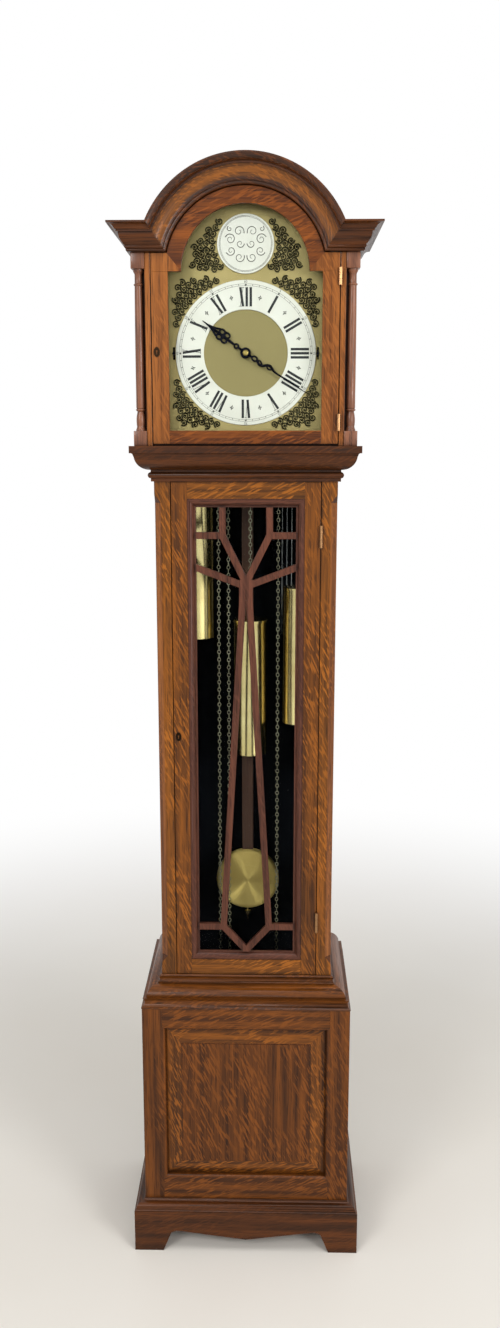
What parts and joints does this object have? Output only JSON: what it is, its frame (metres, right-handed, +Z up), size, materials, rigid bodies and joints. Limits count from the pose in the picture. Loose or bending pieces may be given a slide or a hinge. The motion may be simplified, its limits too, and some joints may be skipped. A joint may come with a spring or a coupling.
{
  "type": "grandfather clock",
  "caption": "Oak longcase clock with arched glazed hood, brass dial and hands, hinged lattice door, chain-hung weights and a long pendulum on a panelled base.",
  "frame": {"origin": "centre of the overall box at floor level, under the clock", "axes": "+Z up, -Y out of the front of the clock, +X to the right of someone facing it"},
  "size_m": [0.438, 0.28, 1.95],
  "materials": {
    "oak": "satin varnish",
    "red_oak": "satin varnish, redder stain",
    "dark_board": "dark stain",
    "dark_rod": "varnished",
    "glass": "clear",
    "brass": "polished",
    "antique_brass": "dulled",
    "silvered_brass": "silvered, brushed",
    "chain_brass": "dulled",
    "blued_steel": "blued",
    "steel": "bright"
  },
  "bodies": {
    "case": {"plinth_boards": "oak", "plinth_moulding": "oak", "base_front_frame": "oak", "base_panel": "oak", "base_panel_bead": "red_oak", "base_carcass": "oak", "base_top_moulding": "oak", "trunk_front_frame": "oak", "trunk_sides": "oak", "backboard": "dark_board", "throat_moulding": "oak", "seat_board": "dark_board", "dial_plate": "brass", "chapter_ring": "silvered_brass", "dial_spandrels": "antique_brass", "arch_boss": "silvered_brass", "movement_frame": "brass", "train_wheels": "brass", "chime_rods": "steel", "trunk_hinge_leaves": "antique_brass", "chain_wraps": "chain_brass"},
    "hood": {"hood_sides": "oak", "hood_front_frame": "oak", "hood_columns": "oak", "hood_cornice": "oak", "hood_arch_moulding": "oak", "hood_roof": "oak", "hood_hinge_leaves": "antique_brass"},
    "hood_door": {"hood_door_frame": "oak", "hood_door_glass": "glass", "hood_door_fittings": "antique_brass"},
    "trunk_door": {"trunk_door_frame": "oak", "trunk_door_moulding": "red_oak", "trunk_glazing_bars": "red_oak", "trunk_door_glass": "glass", "trunk_door_fittings": "antique_brass"},
    "minute_hand": {"minute_hand": "blued_steel", "cannon_pinion": "steel"},
    "hour_hand": {"hour_hand": "blued_steel", "hour_wheel": "brass"},
    "minute_wheel": {"minute_wheel": "brass"},
    "pendulum": {"suspension_spring": "steel", "pendulum_rod": "dark_rod", "pendulum_bob": "brass"},
    "anchor": {"anchor_crutch": "steel"},
    "strike_lever": {"strike_lever": "blued_steel"},
    "chime_lever": {"chime_lever": "blued_steel"},
    "hammers": {"chime_hammers": "brass"},
    "weight_left": {"weight_left": "brass", "weight_chain_left": "chain_brass"},
    "chain_end_left": {"free_chain_left": "chain_brass"},
    "sprocket_left": {"sprocket_left": "brass"},
    "weight_centre": {"weight_centre": "brass", "weight_chain_centre": "chain_brass"},
    "chain_end_centre": {"free_chain_centre": "chain_brass"},
    "sprocket_centre": {"sprocket_centre": "brass"},
    "weight_right": {"weight_right": "brass", "weight_chain_right": "chain_brass"},
    "chain_end_right": {"free_chain_right": "chain_brass"},
    "sprocket_right": {"sprocket_right": "brass"}
  },
  "joints": [
    {"name": "hood_slide", "type": "slide", "parent": "case", "child": "hood", "axis": [0, -1, 0], "range_m": [0, 0.3]},
    {"name": "hood_door_hinge", "type": "hinge", "parent": "hood", "child": "hood_door", "pos_m": [0.1533, -0.1092, 1.651], "axis": [0, 0, 1], "range_deg": [0, 100]},
    {"name": "trunk_door_hinge", "type": "hinge", "parent": "case", "child": "trunk_door", "pos_m": [0.1283, -0.0802, 0.991], "axis": [0, 0, 1], "range_deg": [0, 110]},
    {"name": "minute_turn", "type": "hinge", "parent": "case", "child": "minute_hand", "pos_m": [0, -0.074, 1.651], "axis": [0, 1, 0], "continuous": true},
    {"name": "hour_turn", "type": "hinge", "parent": "case", "child": "hour_hand", "pos_m": [0, -0.074, 1.651], "axis": [0, 1, 0], "continuous": true},
    {"name": "minute_wheel_turn", "type": "hinge", "parent": "case", "child": "minute_wheel", "pos_m": [0.01697, -0.04, 1.63403], "axis": [0, 1, 0], "continuous": true},
    {"name": "pendulum_swing", "type": "hinge", "parent": "case", "child": "pendulum", "pos_m": [0, 0.048, 1.715], "axis": [0, 1, 0], "range_deg": [-3.5, 3.5]},
    {"name": "anchor_rock", "type": "hinge", "parent": "case", "child": "anchor", "pos_m": [0, 0.048, 1.715], "axis": [0, 1, 0], "range_deg": [-3.55, 3.55]},
    {"name": "strike_lever_slide", "type": "slide", "parent": "case", "child": "strike_lever", "axis": [0, 0, 1], "range_m": [-0.006, 0.006]},
    {"name": "chime_lever_slide", "type": "slide", "parent": "case", "child": "chime_lever", "axis": [0, 0, 1], "range_m": [-0.006, 0.006]},
    {"name": "hammer_lift", "type": "hinge", "parent": "case", "child": "hammers", "pos_m": [0.082, 0.062, 1.64], "axis": [-1, 0, 0], "range_deg": [0, 14], "stiffness_Nm_per_rad": 0.04, "springref_deg": -57.3},
    {"name": "weight_left_slide", "type": "slide", "parent": "case", "child": "weight_left", "axis": [0, 0, 1], "range_m": [-1.03, 0.06], "deforming": ["weight_chain_left"]},
    {"name": "chain_end_left_slide", "type": "slide", "parent": "case", "child": "chain_end_left", "axis": [0, 0, 1], "range_m": [-0.061, 1.031], "deforming": ["free_chain_left"]},
    {"name": "sprocket_left_turn", "type": "hinge", "parent": "case", "child": "sprocket_left", "pos_m": [-0.0704, 0, 1.585], "axis": [0, 1, 0], "range_deg": [-3013, 177.4]},
    {"name": "weight_centre_slide", "type": "slide", "parent": "case", "child": "weight_centre", "axis": [0, 0, 1], "range_m": [-0.81, 0.275], "deforming": ["weight_chain_centre"]},
    {"name": "chain_end_centre_slide", "type": "slide", "parent": "case", "child": "chain_end_centre", "axis": [0, 0, 1], "range_m": [-0.276, 0.811], "deforming": ["free_chain_centre"]},
    {"name": "sprocket_centre_turn", "type": "hinge", "parent": "case", "child": "sprocket_centre", "pos_m": [-0.0136, 0, 1.585], "axis": [0, 1, 0], "range_deg": [-805.9, 2369.8]},
    {"name": "weight_right_slide", "type": "slide", "parent": "case", "child": "weight_right", "axis": [0, 0, 1], "range_m": [-0.87, 0.215], "deforming": ["weight_chain_right"]},
    {"name": "chain_end_right_slide", "type": "slide", "parent": "case", "child": "chain_end_right", "axis": [0, 0, 1], "range_m": [-0.216, 0.871], "deforming": ["free_chain_right"]},
    {"name": "sprocket_right_turn", "type": "hinge", "parent": "case", "child": "sprocket_right", "pos_m": [0.0754, 0, 1.585], "axis": [0, 1, 0], "range_deg": [-630.5, 2545.2]}
  ],
  "couplings": [
    {"joint": "minute_wheel_turn", "follows": "minute_turn", "ratio": -0.33333},
    {"joint": "hour_turn", "follows": "minute_turn", "ratio": 0.083333},
    {"joint": "anchor_rock", "follows": "pendulum_swing", "ratio": 1},
    {"joint": "chain_end_left_slide", "follows": "weight_left_slide", "ratio": -1},
    {"joint": "sprocket_left_turn", "follows": "weight_left_slide", "rad_per_m": 51.02},
    {"joint": "chain_end_centre_slide", "follows": "weight_centre_slide", "ratio": -1},
    {"joint": "sprocket_centre_turn", "follows": "weight_centre_slide", "rad_per_m": -51.02},
    {"joint": "chain_end_right_slide", "follows": "weight_right_slide", "ratio": -1},
    {"joint": "sprocket_right_turn", "follows": "weight_right_slide", "rad_per_m": -51.02}
  ]
}
